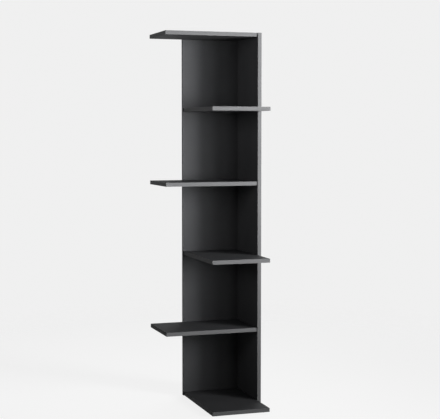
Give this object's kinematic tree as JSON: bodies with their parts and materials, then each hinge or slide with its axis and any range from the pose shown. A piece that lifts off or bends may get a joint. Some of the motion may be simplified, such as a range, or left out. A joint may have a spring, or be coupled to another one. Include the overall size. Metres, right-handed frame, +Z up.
{
  "type": "corner shelving unit",
  "caption": "Tall corner shelving unit: upright panels meeting in an L carry open rectangular boards that run sideways and forward by turns, for books and display.",
  "frame": {"origin": "centre of the unit's bounding box at floor level, where the glides stand", "axes": "+X along the back wall to the viewer's right, towards the side upright; +Y towards the back wall; +Z up"},
  "size_m": [0.407, 0.407, 1.54],
  "materials": {
    "board": "chipboard faced with anthracite melamine, satin with a fine grained surface",
    "edge_strip": "anthracite edge strip, satin, eased edges",
    "screw_steel": "zinc plated",
    "dowel_beech": "plain beech",
    "glide_plastic": "moulded, matt",
    "nail_steel": "bright"
  },
  "bodies": {
    "root": {"back_upright": "board", "back_upright_side_strip": "edge_strip", "back_upright_top_strip": "edge_strip", "corner_dowels": "dowel_beech", "corner_screws": "screw_steel", "floor_glides": "glide_plastic", "glide_nails": "nail_steel", "shelf_1_board": "board", "shelf_1_dowels": "dowel_beech", "shelf_1_end_edge_strip": "edge_strip", "shelf_1_open_edge_strip": "edge_strip", "shelf_1_screws": "screw_steel", "shelf_1_wall_edge_strip": "edge_strip", "shelf_2_board": "board", "shelf_2_dowels": "dowel_beech", "shelf_2_end_edge_strip": "edge_strip", "shelf_2_open_edge_strip": "edge_strip", "shelf_2_screws": "screw_steel", "shelf_2_wall_edge_strip": "edge_strip", "shelf_3_board": "board", "shelf_3_dowels": "dowel_beech", "shelf_3_end_edge_strip": "edge_strip", "shelf_3_open_edge_strip": "edge_strip", "shelf_3_screws": "screw_steel", "shelf_3_wall_edge_strip": "edge_strip", "shelf_4_board": "board", "shelf_4_dowels": "dowel_beech", "shelf_4_end_edge_strip": "edge_strip", "shelf_4_open_edge_strip": "edge_strip", "shelf_4_screws": "screw_steel", "shelf_4_wall_edge_strip": "edge_strip", "shelf_5_board": "board", "shelf_5_dowels": "dowel_beech", "shelf_5_end_edge_strip": "edge_strip", "shelf_5_open_edge_strip": "edge_strip", "shelf_5_screws": "screw_steel", "shelf_5_wall_edge_strip": "edge_strip", "shelf_6_board": "board", "shelf_6_dowels": "dowel_beech", "shelf_6_end_edge_strip": "edge_strip", "shelf_6_open_edge_strip": "edge_strip", "shelf_6_screws": "screw_steel", "shelf_6_wall_edge_strip": "edge_strip", "side_upright": "board", "side_upright_back_strip": "edge_strip", "side_upright_front_strip": "edge_strip", "side_upright_top_strip": "edge_strip"}
  },
  "joints": []
}
